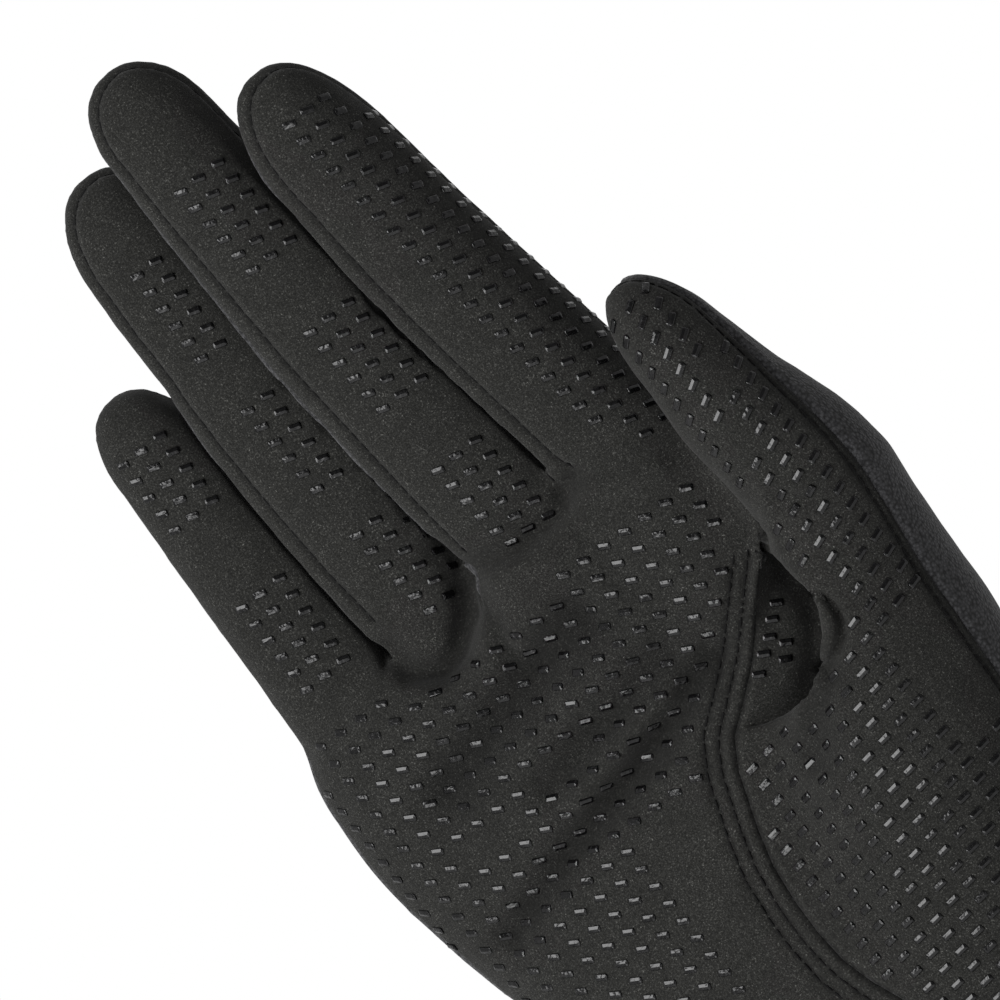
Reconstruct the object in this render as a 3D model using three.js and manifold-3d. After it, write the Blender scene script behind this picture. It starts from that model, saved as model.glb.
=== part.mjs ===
// A right-hand golf glove that keeps the form of the hand in it: a suede palm and suede fronts of the
// digits, a suede panel over the ball of the thumb, a stretch back with the backs of the digits, and a
// bound hem round the wrist opening. Every panel is a thin wall and the glove is hollow from the hem to
// each fingertip. The digits' pieces are solids of their own, so that their hollows stay open.
// Millimetres. +Z runs from the hem to the fingertips, -Y is the palm side and +X the thumb side.
// The origin is the centre of the wrist opening.
import * as THREE from "three";
import Module from "manifold-3d";

const wasm = await Module();
wasm.setup();

// Driving sizes
const wall = 1.2; // thickness of each panel
const seamGap = 0.3; // between two panels that are sewn together
const palmLength = 140; // hem to the bottom of the finger crotches
const palmWidth = 82.4;
const palmThickness = 27;
const palmShift = 7.8; // from the wrist's centre to the palm's, towards the little finger
const palmBack = 0.9; // from the wrist's centre to the palm's, towards the back of the hand
const palmEdgeLift = 5; // how far the palm's little-finger edge lies back, over half the palm's width
const palmDome = 15; // height of the rounded top between the fingers
const wristWidth = 62;
const wristThickness = 41;
const hemHeight = 9;
const hemProud = 0.7; // how far the binding stands out past the panels
const fingerLength = 85.7; // the middle finger, from the crotches to its tip
const fingerWidth = 18.6; // the middle finger at its root
const fingerDepthShare = 0.96; // a finger's depth over its width
const fingerSink = 24; // how far each finger's root runs down inside the palm
const thumbRoot = 33; // height at which the ball of the thumb begins
const thumbTop = 125.8; // from thumbRoot to the thumb's tip
const thumbOut = 41.8; // from the wrist's centre to the thumb's joint, sideways
const thumbForward = 20.5; // from the wrist's centre to the thumb's tip, towards the palm side
const thumbWidth = 20.2; // at the thumb's joint
const thumbDome = 13; // height of the thumb tip's rounding
const foldDepth = 2.2; // the deepest palm crease
const foldWidth = 5.5; // half width of a palm crease

// Section corners: 2 is an ellipse, and more is squarer.
const palmSquareness = 2.5;
const digitSquareness = 2.15;

// length is a share of fingerLength, and across is a finger's centre at the crotches as a share of
// palmWidth. The other columns are shares of fingerWidth: y is that centre's place to the back, root and
// tip are widths, dome is the height of the fingertip's rounding, lean how far the tip lies to the thumb
// side, bow how far the finger's middle bends sideways and curl how far the tip comes forward. The seams
// are angles round the finger from the palm side, positive towards the thumb.
const [toLittle, toThumb] = [-69, 111];
const fingers = [
  {
    ...{ length: 0.846, across: 0.261, y: -0.32, root: 1, tip: 0.91, dome: 0.91 },
    ...{ lean: -0.34, bow: -0.07, curl: 0.62, seams: [toLittle, toThumb + 14] },
  },
  {
    ...{ length: 1, across: 0.02, y: -0.16, root: 1.045, tip: 0.88, dome: 0.67 },
    ...{ lean: -0.19, bow: -0.06, curl: 0.63, seams: [toLittle, toThumb] },
  },
  {
    ...{ length: 0.898, across: -0.203, y: 0.135, root: 0.96, tip: 0.89, dome: 0.75 },
    ...{ lean: 0, bow: -0.12, curl: 0.32, seams: [toLittle, toThumb] },
  },
  {
    ...{ length: 0.595, across: -0.446, y: 0.28, root: 0.985, tip: 0.7, dome: 0.55 },
    ...{ lean: 0.04, bow: 0, curl: 0.08, seams: [toLittle + 5, toThumb] },
  },
];
const fingerCurlPower = 1.8; // a finger bends more towards its tip
const fingerSteps = 5;
const digitRoot = 1.5; // height above the crotches at which the fingers' own pieces begin

// The palm from the hem up. up is a share of the height below the dome, spread and thin run from the
// wrist (0) to the palm (1), and lean is a share of palmShift, palmBack and palmEdgeLift.
const palmSections = [
  { up: 0, spread: 0.115, thin: -0.15, lean: 0 },
  { up: 0.12, spread: 0.04, thin: -0.06, lean: 0 },
  { up: 0.24, spread: 0.01, thin: 0.06, lean: 0.04 },
  { up: 0.34, spread: 0.08, thin: 0.18, lean: 0.15 },
  { up: 0.43, spread: 0.19, thin: 0.3, lean: 0.31 },
  { up: 0.51, spread: 0.31, thin: 0.44, lean: 0.49 },
  { up: 0.59, spread: 0.45, thin: 0.58, lean: 0.67 },
  { up: 0.66, spread: 0.58, thin: 0.71, lean: 0.81 },
  { up: 0.72, spread: 0.72, thin: 0.82, lean: 0.9 },
  { up: 0.77, spread: 0.82, thin: 0.9, lean: 0.95 },
  { up: 0.82, spread: 0.92, thin: 0.95, lean: 0.98 },
  { up: 0.87, spread: 0.98, thin: 0.98, lean: 1 },
  { up: 0.92, spread: 1, thin: 1, lean: 1 },
  { up: 0.96, spread: 0.98, thin: 1.06, lean: 0.98 },
  { up: 1, spread: 0.93, thin: 1.16, lean: 0.94 },
];
const palmSeams = [-84, 98];

// The thumb from its ball to its tip. up is a share of the height from thumbRoot to the base of the tip's
// dome, out is a share of thumbOut, forward of thumbForward, and width and depth of thumbWidth. seam is
// the angle of the seam on the thumb's outer side.
const thumbSections = [
  { up: 0, out: 0.33, forward: 0.3, width: 1.2, depth: 0.95, seam: 88 },
  { up: 0.15, out: 0.42, forward: 0.37, width: 1.55, depth: 1.15, seam: 87 },
  { up: 0.29, out: 0.515, forward: 0.44, width: 1.79, depth: 1.32, seam: 85 },
  { up: 0.42, out: 0.635, forward: 0.5, width: 1.87, depth: 1.38, seam: 79 },
  { up: 0.53, out: 0.725, forward: 0.55, width: 1.76, depth: 1.36, seam: 72 },
  { up: 0.615, out: 0.815, forward: 0.62, width: 1.48, depth: 1.28, seam: 66 },
  { up: 0.69, out: 0.912, forward: 0.7, width: 1.2, depth: 1.15, seam: 62 },
  { up: 0.765, out: 0.985, forward: 0.79, width: 1.03, depth: 1.05, seam: 60 },
  { up: 0.84, out: 0.979, forward: 0.86, width: 0.97, depth: 0.98, seam: 62 },
  { up: 0.915, out: 0.946, forward: 0.93, width: 0.87, depth: 0.91, seam: 70 },
  { up: 1, out: 0.93, forward: 1, width: 0.7, depth: 0.77, seam: 80 },
];
const thumbInnerSeam = -145;
const thumbTipLean = { out: 0.9, forward: 1.03 };

// The palm creases, as lines across the palm: from and to are shares of palmWidth sideways and of
// palmLength up, bend is how far the line's middle lies below its chord as a share of palmLength, and
// depth is a share of foldDepth.
const folds = [
  { from: [-0.35, 0.84], to: [0.097, 0.89], bend: 0.03, depth: 0.9 },
  { from: [-0.427, 0.69], to: [0.058, 0.74], bend: 0.02, depth: 1 },
  { from: [-0.272, 0.94], to: [-0.078, 0.955], bend: 0.03, depth: 0.8 },
];

// The seam round the ball of the thumb, from the web down to the outer side of the wrist. across is a
// share of palmWidth and up of palmLength.
const thumbSeam = [
  { across: 0.353, up: 0.85 },
  { across: 0.272, up: 0.8 },
  { across: 0.209, up: 0.764 },
  { across: 0.146, up: 0.736 },
  { across: 0.087, up: 0.71 },
  { across: 0.046, up: 0.657 },
  { across: 0.008, up: 0.593 },
  { across: -0.005, up: 0.514 },
  { across: 0.012, up: 0.44 },
  { across: 0.049, up: 0.376 },
  { across: 0.117, up: 0.31 },
  { across: 0.223, up: 0.25 },
  { across: 0.359, up: 0.21 },
];
const thumbSeamSteps = 17;

const palmSides = 32;
const digitSides = 15;
const backSides = 8; // of the wedge that marks off the back of the thumb
const backOverlap = 2; // of the palm's part of that surface with the fingers' part
const backSteps = 9; // of the surface that marks off the backs of the fingers
const domeSteps = 4;
const thumbProud = 1.5; // how far the thumb's wedge stands out past its outer surface
const farOut = 90; // beyond the glove on every side
const leastHalf = 0.7; // the least half width of a section, so that no dome ends in a sharp point

const mix = (a, b, t) => a + (b - a) * t;
const corner = (v, squareness) => Math.sign(v) * Math.abs(v) ** (2 / squareness);

// How far the palm's front is pushed in at a point by all the creases
function foldAt(x, z) {
  let sum = 0;
  for (const { from, to, bend, depth } of folds) {
    const [ax, az] = [from[0] * palmWidth, from[1] * palmLength];
    const [bx, bz] = [to[0] * palmWidth, to[1] * palmLength];
    const along = ((x - ax) * (bx - ax) + (z - az) * (bz - az)) / ((bx - ax) ** 2 + (bz - az) ** 2);
    const t = THREE.MathUtils.clamp(along, 0, 1);
    const lineZ = mix(az, bz, t) - bend * palmLength * 4 * t * (1 - t);
    const away = Math.hypot(x - mix(ax, bx, t), z - lineZ) / foldWidth;
    sum += depth * foldDepth * Math.exp(-away * away);
  }
  return sum;
}

// A point on a section at an angle round it from the palm side, inset from the outer surface
function pointOn(section, angle, inset) {
  const turn = THREE.MathUtils.degToRad(angle);
  const halfWidth = Math.max(section.halfWidth - inset, leastHalf);
  const halfDepth = Math.max(section.halfDepth - inset, leastHalf);
  const front = corner(Math.cos(turn), section.squareness);
  const sideways = halfWidth * corner(Math.sin(turn), section.squareness);
  const point = new THREE.Vector3(section.x + sideways, section.y - halfDepth * front, section.z);
  if (section.tilt) point.y -= (section.tilt * sideways) / (palmWidth / 2);
  if (section.creased && front > 0) point.y += foldAt(point.x, point.z) * Math.min(1, 2 * front);
  return point;
}

// The sections of a dome over a digit or the palm, up to its pole. hold is the share of the width that
// stays below the pole.
function dome(base, height, drift, hold) {
  return Array.from({ length: domeSteps }, (_, i) => {
    const turn = ((i + 1) / domeSteps) * (Math.PI / 2);
    const size = Math.cos(turn);
    return {
      ...base,
      x: base.x + drift.x * Math.sin(turn),
      y: base.y + drift.y * Math.sin(turn),
      z: base.z + height * Math.sin(turn),
      halfWidth: base.halfWidth * mix(size, 1, hold),
      halfDepth: base.halfDepth * size,
    };
  });
}

function palmAt({ up, spread, thin, lean }) {
  return {
    x: -palmShift * lean,
    y: palmBack * lean,
    z: up * (palmLength - palmDome),
    halfWidth: mix(wristWidth, palmWidth, spread) / 2,
    halfDepth: mix(wristThickness, palmThickness, thin) / 2,
    squareness: palmSquareness,
    seams: palmSeams,
    tilt: palmEdgeLift * lean,
    creased: true,
  };
}

function palmStack(inset) {
  const stack = palmSections.map(palmAt);
  return [...stack, ...dome(stack.at(-1), palmDome - inset, { x: 0, y: 0 }, 0.8)];
}

// A finger's section at a height, also a little below its crotch and above its tip
function fingerAt(finger, z) {
  const share = (z - palmLength) / (finger.length * fingerLength);
  const beyond = THREE.MathUtils.clamp(share, 0, 1);
  const width = mix(finger.root, finger.tip, beyond) * fingerWidth;
  const sideways = finger.lean * Math.min(share, 1) + finger.bow * 4 * beyond * (1 - beyond);
  return {
    x: finger.across * palmWidth + sideways * fingerWidth,
    y: (finger.y - finger.curl * beyond ** fingerCurlPower) * fingerWidth,
    z,
    halfWidth: width / 2,
    halfDepth: (width * fingerDepthShare) / 2,
    squareness: digitSquareness,
    seams: finger.seams,
  };
}

function fingerStack(finger, inset) {
  const length = finger.length * fingerLength;
  const at = (z) => fingerAt(finger, z);
  const rounding = finger.dome * fingerWidth;
  const [low, high] = [palmLength - fingerSink, palmLength + length - rounding];
  const stack = Array.from({ length: fingerSteps + 1 }, (_, i) => at(mix(low, high, i / fingerSteps)));
  const top = at(palmLength + length);
  const base = stack.at(-1);
  return [...stack, ...dome(base, rounding - inset, { x: top.x - base.x, y: top.y - base.y }, 0)];
}

function thumbStack(inset) {
  const stack = thumbSections.map(({ up, out, forward, width, depth, seam }) => ({
    x: out * thumbOut,
    y: -forward * thumbForward,
    z: thumbRoot + up * (thumbTop - thumbDome),
    halfWidth: (width * thumbWidth) / 2,
    halfDepth: (depth * thumbWidth) / 2,
    squareness: digitSquareness,
    seams: [thumbInnerSeam, seam],
  }));
  const base = stack.at(-1);
  const tip = { x: thumbTipLean.out * thumbOut, y: -thumbTipLean.forward * thumbForward };
  return [...stack, ...dome(base, thumbDome - inset, { x: tip.x - base.x, y: tip.y - base.y }, 0)];
}

function solid(positions, triangles) {
  const mesh = new wasm.Mesh({
    numProp: 3,
    vertProperties: new Float32Array(positions.flatMap((p) => [p.x, p.y, p.z])),
    triVerts: new Uint32Array(triangles),
  });
  mesh.merge();
  return new wasm.Manifold(mesh);
}

// A closed solid through rings of equally many points, each ring with the middle that closes it
function skin(rings, middles) {
  const size = rings[0].length;
  const positions = [...rings.flat(), middles[0], middles.at(-1)];
  const [foot, head] = [positions.length - 2, positions.length - 1];
  const at = (ring, i) => ring * size + (i % size);
  const triangles = [];
  for (let i = 0; i < size; i++) {
    triangles.push(at(0, i + 1), at(0, i), foot);
    triangles.push(at(rings.length - 1, i), at(rings.length - 1, i + 1), head);
    for (let ring = 0; ring < rings.length - 1; ring++) {
      triangles.push(at(ring, i), at(ring, i + 1), at(ring + 1, i + 1));
      triangles.push(at(ring, i), at(ring + 1, i + 1), at(ring + 1, i));
    }
  }
  return solid(positions, triangles);
}

const middleOf = (section) => new THREE.Vector3(section.x, section.y, section.z);

// The middle of a section, moved away from the back by an offset
function movedMiddle(section, offset) {
  const turn = THREE.MathUtils.degToRad((section.seams[0] + section.seams[1]) / 2);
  return middleOf(section).add(new THREE.Vector3(Math.sin(turn), -Math.cos(turn), 0).multiplyScalar(offset));
}

// The whole of a stack of sections
function whole(stack, inset, sides) {
  const rings = stack.map((section) =>
    Array.from({ length: sides }, (_, i) => pointOn(section, (360 * i) / sides - 180, inset)),
  );
  return skin(rings, stack.map(middleOf));
}

// The part of the thumb that lies behind its two seams, widened past each of them
function thumbRear(widen) {
  const stack = thumbStack(0);
  const lowered = [{ ...stack[0], z: stack[0].z - widen }, ...stack.slice(1)];
  const rings = lowered.map((section) => {
    const slack = THREE.MathUtils.radToDeg(widen / Math.max(section.halfDepth, wall));
    const [low, high] = section.seams;
    const arc = Array.from({ length: backSides + 1 }, (_, i) =>
      pointOn(section, mix(high - slack, low + 360 + slack, i / backSides), -thumbProud - widen),
    );
    return [movedMiddle(section, widen), ...arc];
  });
  return skin(rings, lowered.map(middleOf));
}

const direction = (angle) =>
  new THREE.Vector3(Math.sin(THREE.MathUtils.degToRad(angle)), -Math.cos(THREE.MathUtils.degToRad(angle)), 0);

// Closes a line across the hand into a ring round everything behind it
function closedBehind(line, z) {
  const ring = [...line, new THREE.Vector3(farOut, farOut, z), new THREE.Vector3(-farOut, farOut, z)];
  return ring.map((point) => point.setZ(z));
}

const sumOf = (ring) => ring.reduce((sum, point) => sum.add(point), new THREE.Vector3());
const centreOf = (ring) => sumOf(ring).divideScalar(ring.length);
const throughRings = (rings) => skin(rings, rings.map(centreOf));

// Everything behind the palm's two side seams, from below the hem to the fingers' roots
function palmRear(widen) {
  const stack = palmSections.map(palmAt);
  const top = stack.at(-1);
  const sections = [{ ...stack[0], z: -farOut }, ...stack, { ...top, z: top.z + backOverlap + widen }];
  return throughRings(
    sections.map((section) => {
      const middle = movedMiddle(section, widen);
      const ends = section.seams.map((angle) => {
        const end = direction(angle).multiplyScalar(farOut);
        end.y -= (section.tilt * end.x) / (palmWidth / 2);
        return end.add(middle);
      });
      return closedBehind([ends[0], middle, ends[1]], section.z);
    }),
  );
}

// Where a line from a point along a direction meets another
function meeting(point, along, other, otherAlong) {
  const cross = along.x * otherAlong.y - along.y * otherAlong.x;
  const apart = other.clone().sub(point);
  const t = (apart.x * otherAlong.y - apart.y * otherAlong.x) / cross;
  return point.clone().addScaledVector(along, t);
}

// Everything behind the fingers' seams: a line through the fingers' centres that steps half way
// between each two of them
function fingersRear(widen) {
  const low = palmLength - palmDome - backOverlap - widen;
  const high = palmLength + fingerLength + wall;
  const rings = Array.from({ length: backSteps + 1 }, (_, step) => {
    const z = mix(low, high, step / backSteps);
    const row = fingers.map((finger) => fingerAt(finger, z)).reverse();
    const line = [];
    row.forEach((section, i) => {
      const middle = movedMiddle(section, widen).setZ(0);
      const [left, right] = section.seams.map(direction);
      if (i === 0) line.push(middle.clone().addScaledVector(left, farOut));
      line.push(middle);
      if (i === row.length - 1) {
        line.push(middle.clone().addScaledVector(right, farOut));
        return;
      }
      const next = row[i + 1];
      const across = new THREE.Vector3(next.x - section.x, next.y - section.y, 0);
      const apart = across.length();
      across.normalize();
      const gapMiddle = (apart + section.halfWidth - next.halfWidth) / 2 - widen;
      const wallPoint = new THREE.Vector3(section.x, section.y, 0).addScaledVector(across, gapMiddle);
      const wallAlong = new THREE.Vector3(-across.y, across.x, 0);
      const nextMiddle = movedMiddle(next, widen).setZ(0);
      line.push(meeting(middle, right, wallPoint, wallAlong));
      line.push(meeting(nextMiddle, direction(next.seams[0]), wallPoint, wallAlong));
    });
    return closedBehind(line, z);
  });
  return throughRings(rings);
}

// The region on the thumb's side of its seam, moved across the seam by an offset
function thumbRegion(offset) {
  const line = new THREE.CatmullRomCurve3(
    thumbSeam.map(({ across, up }) => new THREE.Vector3(across * palmWidth, 0, up * palmLength)),
  );
  const outline = line.getSpacedPoints(thumbSeamSteps).map((point, i) => {
    const along = line.getTangentAt(i / thumbSeamSteps);
    return point.add(new THREE.Vector3(along.z, 0, -along.x).multiplyScalar(offset));
  });
  outline[0].z += offset;
  outline.at(-1).z -= offset;
  outline.push(new THREE.Vector3(farOut, 0, outline.at(-1).z), new THREE.Vector3(farOut, 0, outline[0].z));
  const shape = new THREE.Shape(outline.map(({ x, z }) => new THREE.Vector2(x, z)));
  const block = new THREE.ExtrudeGeometry(shape, { depth: 2 * farOut, bevelEnabled: false, steps: 1 });
  block.rotateX(Math.PI / 2);
  block.translate(0, farOut, 0);
  return fromGeometry(block);
}

function fromGeometry(geometry) {
  const place = geometry.getAttribute("position");
  const at = (_, i) => new THREE.Vector3().fromBufferAttribute(place, i);
  const positions = Array.from({ length: place.count }, at);
  const index = geometry.index ? [...geometry.index.array] : positions.map((_, i) => i);
  return solid(positions, index);
}

// The free part of the thumb, above the web
function thumbAboveWeb(proud) {
  const web = thumbSeam[0].up * palmLength;
  const stack = thumbStack(-proud);
  const first = stack.findIndex(({ z }) => z > web) - 1;
  const lowered = [{ ...stack[first], z: stack[first].z - proud }, ...stack.slice(first + 1)];
  return whole(lowered, -proud, digitSides);
}

const join = (solids) => solids.reduce((sum, next) => sum.add(next));
const digits = (inset) => [...fingers.map((finger) => fingerStack(finger, inset)), thumbStack(inset)];
const wholeDigits = (inset) => digits(inset).map((stack) => whole(stack, inset, digitSides));
const hand = (inset) => join([whole(palmStack(inset), inset, palmSides), ...wholeDigits(inset)]);
const backRegion = (widen) => join([palmRear(widen), fingersRear(widen), thumbRear(widen)]);

// A block over everything between two heights
function slab(low, high) {
  const block = new THREE.BoxGeometry(2 * farOut, 2 * farOut, high - low);
  block.translate(0, 0, (low + high) / 2);
  return fromGeometry(block);
}

// The binding: a strip folded over the panels' lower edge, seen as one ring with rounded edges
function hem() {
  const [low, high] = [palmAt(palmSections[0]), palmAt(palmSections[1])];
  const profile = [
    [wall, 0.1],
    [wall, 0.9],
    [wall - 0.4, 1],
    [0, 1],
    [-hemProud, 0.86],
    [-hemProud, 0.14],
    [0, 0],
    [wall - 0.4, 0],
  ];
  const rings = Array.from({ length: palmSides }, (_, i) =>
    profile.map(([inset, up]) => {
      const z = up * hemHeight;
      const share = z / high.z;
      const section = {
        ...low,
        z,
        halfWidth: mix(low.halfWidth, high.halfWidth, share),
        halfDepth: mix(low.halfDepth, high.halfDepth, share),
        creased: false,
      };
      return pointOn(section, (360 * i) / palmSides - 180, inset);
    }),
  );
  const size = profile.length;
  const triangles = [];
  for (let i = 0; i < palmSides; i++)
    for (let k = 0; k < size; k++) {
      const [a, b] = [i * size + k, i * size + ((k + 1) % size)];
      const [c, d] = [((i + 1) % palmSides) * size + k, ((i + 1) % palmSides) * size + ((k + 1) % size)];
      triangles.push(a, d, c, a, b, d);
    }
  return solid(rings.flat(), triangles);
}

const panels = hand(0)
  .subtract(hand(wall))
  .subtract(slab(-farOut, hemHeight + seamGap));
const half = seamGap / 2;

// The one big body that is left when cutting sheds slivers
const bySize = (made) => made.decompose().sort((a, b) => b.volume() - a.volume());
const body = (made) => bySize(made)[0];

const digitNames = ["little", "ring", "middle", "index"];
const rootHeight = palmLength + digitRoot;

// The four fingers' pieces above their roots, named from the little finger to the index finger
function fingerPieces(panel, side) {
  const above = panel.intersect(slab(rootHeight + half, rootHeight + 2 * farOut));
  const across = (piece) => piece.boundingBox().min[0];
  const pieces = bySize(above).slice(0, digitNames.length);
  pieces.sort((a, b) => across(a) - across(b));
  return Object.fromEntries(pieces.map((piece, i) => [digitNames[i] + side, piece]));
}

const belowRoots = slab(-farOut, rootHeight - half);
const [thumbIn, thumbClear] = [thumbAboveWeb(thumbProud - half), thumbAboveWeb(thumbProud + half)];
const front = panels.subtract(backRegion(half));
const palmFront = front.subtract(thumbRegion(half)).subtract(thumbClear);
const back = panels.intersect(backRegion(-half));
const handBack = back.subtract(thumbClear);
const solids = {
  palm_panel: body(palmFront.intersect(belowRoots)),
  ...fingerPieces(palmFront, "_front"),
  thumb_front: body(front.intersect(thumbIn)),
  thumb_ball: body(front.intersect(thumbRegion(-half)).subtract(thumbClear)),
  back_panel: body(handBack.intersect(belowRoots)),
  ...fingerPieces(handBack, "_back"),
  thumb_back: body(back.intersect(thumbIn)),
  hem: hem(),
};

const suede = { color: 0x2b2b29, roughness: 0.92, metalness: 0 };
const knit = { color: 0x26272a, roughness: 0.85, metalness: 0 };
const tape = { color: 0x1d1d1e, roughness: 0.8, metalness: 0 };
const finishOf = (name) => (name === "hem" ? tape : name.includes("back") ? knit : suede);

function meshOf(name, made) {
  const { vertProperties, triVerts, numProp } = made.getMesh();
  const geometry = new THREE.BufferGeometry();
  const positions = [];
  for (const vertex of triVerts)
    for (let k = 0; k < 3; k++) positions.push(vertProperties[vertex * numProp + k]);
  geometry.setAttribute("position", new THREE.Float32BufferAttribute(positions, 3));
  geometry.computeVertexNormals();
  const mesh = new THREE.Mesh(geometry, new THREE.MeshStandardMaterial(finishOf(name)));
  mesh.name = name;
  return mesh;
}

const glove = new THREE.Group();
glove.name = "golf_glove";
for (const [name, made] of Object.entries(solids)) glove.add(meshOf(name, made));

export default glove;
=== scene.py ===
"""A right-hand golf glove, filled as if by a hand and held up. Its outer surface is one implicit form,
worked out from tables of sections in millimetres, meshed, and cut along its seams into panels. Stitches,
raised grip dashes and the hem's binding are laid on that surface."""

import math

import bpy
import numpy as np
from mathutils import Matrix, Vector
from mathutils.bvhtree import BVHTree

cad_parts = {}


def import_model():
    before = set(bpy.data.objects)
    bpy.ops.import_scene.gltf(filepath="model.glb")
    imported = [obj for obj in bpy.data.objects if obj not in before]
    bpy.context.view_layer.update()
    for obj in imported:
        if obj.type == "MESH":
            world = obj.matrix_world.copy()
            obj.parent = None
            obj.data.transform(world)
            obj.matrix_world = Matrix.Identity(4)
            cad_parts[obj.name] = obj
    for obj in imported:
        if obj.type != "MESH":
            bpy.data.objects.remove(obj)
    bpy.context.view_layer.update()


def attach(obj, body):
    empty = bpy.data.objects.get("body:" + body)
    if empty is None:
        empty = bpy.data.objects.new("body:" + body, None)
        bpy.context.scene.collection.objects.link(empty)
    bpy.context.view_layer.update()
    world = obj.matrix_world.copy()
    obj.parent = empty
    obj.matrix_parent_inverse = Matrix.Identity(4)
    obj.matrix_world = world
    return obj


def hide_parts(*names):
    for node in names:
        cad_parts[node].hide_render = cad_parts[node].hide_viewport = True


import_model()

# Sizes in millimetres
MM = 0.001
STEP = 0.81
WALL = 1.2
PALM_LENGTH = 140
PALM_WIDTH = 82.4
PALM_THICKNESS = 27
PALM_SHIFT = 7.8
PALM_BACK = 0.9
PALM_EDGE_LIFT = 5
PALM_DOME = 15
WRIST_WIDTH = 62
WRIST_THICKNESS = 41
HEM_HEIGHT = 9
FINGER_LENGTH = 85.7
FINGER_WIDTH = 18.6
THUMB_ROOT = 33
THUMB_TOP = 125.8
THUMB_OUT = 41.8
THUMB_FORWARD = 20.5
THUMB_WIDTH = 20.2
THUMB_DOME = 13

# The palm: up, spread, thin, lean
PALM = (
    (-0.2, 0.115, -0.15, 0),
    (0, 0.115, -0.15, 0),
    (0.12, 0.04, -0.06, 0),
    (0.24, 0.01, 0.06, 0.04),
    (0.34, 0.08, 0.18, 0.15),
    (0.43, 0.19, 0.3, 0.31),
    (0.51, 0.31, 0.44, 0.49),
    (0.59, 0.45, 0.58, 0.67),
    (0.66, 0.58, 0.71, 0.81),
    (0.72, 0.72, 0.82, 0.9),
    (0.77, 0.82, 0.9, 0.95),
    (0.82, 0.92, 0.95, 0.98),
    (0.87, 0.98, 0.98, 1),
    (0.92, 1, 1, 1),
    (0.96, 0.98, 1.04, 0.98),
    (1, 0.95, 1.08, 0.94),
    (1.3, 0.93, 1.1, 0.94),
)

# The fingers: length, across, y, root, tip, dome, lean, bow, curl, low seam, high seam, blend with the palm
FINGERS = {
    "index": (0.846, 0.261, -0.32, 1, 0.91, 0.91, -0.34, -0.07, 0.62, -69, 125, 7.0),
    "middle": (1, 0.02, -0.16, 1.045, 0.88, 0.67, -0.19, -0.06, 0.63, -69, 111, 6.0),
    "ring": (0.898, -0.203, 0.135, 0.96, 0.89, 0.75, 0, -0.12, 0.32, -69, 111, 2.5),
    "little": (0.595, -0.446, 0.28, 0.985, 0.7, 0.55, 0.04, 0, 0.08, -64, 111, 8.0),
}
FINGER_DEPTH_SHARE = 0.96
CURL_POWER = 1.8

# The thumb: up, out, forward, width, depth, seam
THUMB = (
    (0, 0.33, 0.3, 1.2, 0.95, 88),
    (0.15, 0.42, 0.37, 1.55, 1.15, 85),
    (0.29, 0.515, 0.44, 1.79, 1.32, 79),
    (0.42, 0.635, 0.5, 1.87, 1.38, 69),
    (0.53, 0.725, 0.55, 1.76, 1.36, 61),
    (0.615, 0.815, 0.62, 1.48, 1.28, 56),
    (0.69, 0.912, 0.7, 1.2, 1.15, 51),
    (0.765, 0.985, 0.79, 1.03, 1.05, 46),
    (0.84, 0.979, 0.86, 0.97, 0.98, 50),
    (0.915, 0.946, 0.93, 0.87, 0.91, 60),
    (1, 0.93, 1, 0.72, 0.78, 72),
    (1.12, 0.9, 1.03, 0.66, 0.72, 80),
)
THUMB_INNER_SEAM = -145

# The seam round the ball of the thumb, from the web down, as seen by the camera: across and up
THUMB_SEAM = (
    (26.4, 124.0),
    (24.5, 119.0),
    (22.6, 116.6),
    (18.0, 112.0),
    (13.0, 107.0),
    (8.0, 103.0),
    (4.0, 100.0),
    (1.5, 96.0),
    (0.0, 92.0),
    (-1.5, 88.0),
    (-3.0, 83.0),
    (-3.8, 77.0),
    (-4.0, 72.0),
    (-3.7, 67.0),
    (-2.5, 62.0),
    (-1.0, 58.0),
    (2.0, 50.0),
    (7.5, 42.5),
    (16.0, 36.0),
    (30.0, 31.0),
)

# The folded edge over the thumb's web, from the web round and down to the palm: across and up
WEB_EDGE = (
    (27.5, 125.0),
    (24.9, 119.5),
    (24.2, 116.5),
    (24.2, 113.5),
    (24.6, 110.2),
    (24.2, 107.0),
    (22.6, 104.2),
    (19.8, 101.3),
    (16.2, 98.9),
    (12.0, 98.1),
    (8.0, 98.8),
    (3.5, 101.0),
)
WEB_TILT = 0.1
WEB_GROOVE = 2.0

# The crease on the far side of the folded edge's flap: across and up
FLAP_CREASE = (
    (25.2, 110.0),
    (26.1, 106.5),
    (25.7, 103.8),
    (24.3, 101.8),
    (22.1, 100.6),
    (19.5, 99.9),
)

# Folds of the suede: points across and up, a half width and a depth
FOLDS = (
    (((-37, 97.5), (-27, 101), (-8, 105), (9, 110.5)), 2.4, 2.9),
    (((-19, 107), (1, 110)), 1.8, -0.8),
    (((-20, 110.5), (4, 114.5)), 2.4, 1.7),
    (((-21, 116), (5, 120.5)), 2.0, -0.9),
    (((-31, 119.5), (-16, 124), (-2, 126.5)), 3.1, 2.7),
    (((-8, 141), (-2, 139), (5, 139.5), (9.5, 142)), 1.6, 1.5),
    (((-10, 137.5), (0, 136), (10, 138.5), (19, 136)), 1.9, -1.1),
    (((-25.3, 139.5), (-25.1, 134.8), (-21.4, 132.2), (-18.1, 132.9), (-13.9, 136.3), (-11.7, 140)), 1.7, 3.1),
    (((-11.7, 146), (-10, 139), (-13, 128)), 1.6, 1.2),
    (((29, 122.3), (32.6, 119.2)), 1.3, 0.6),
    (((19.5, 99), (15, 96), (11.5, 91)), 2.4, 1.9),
    (((-32, 116), (-14, 119), (-2, 120)), 7.0, 0.8),
)

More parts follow.
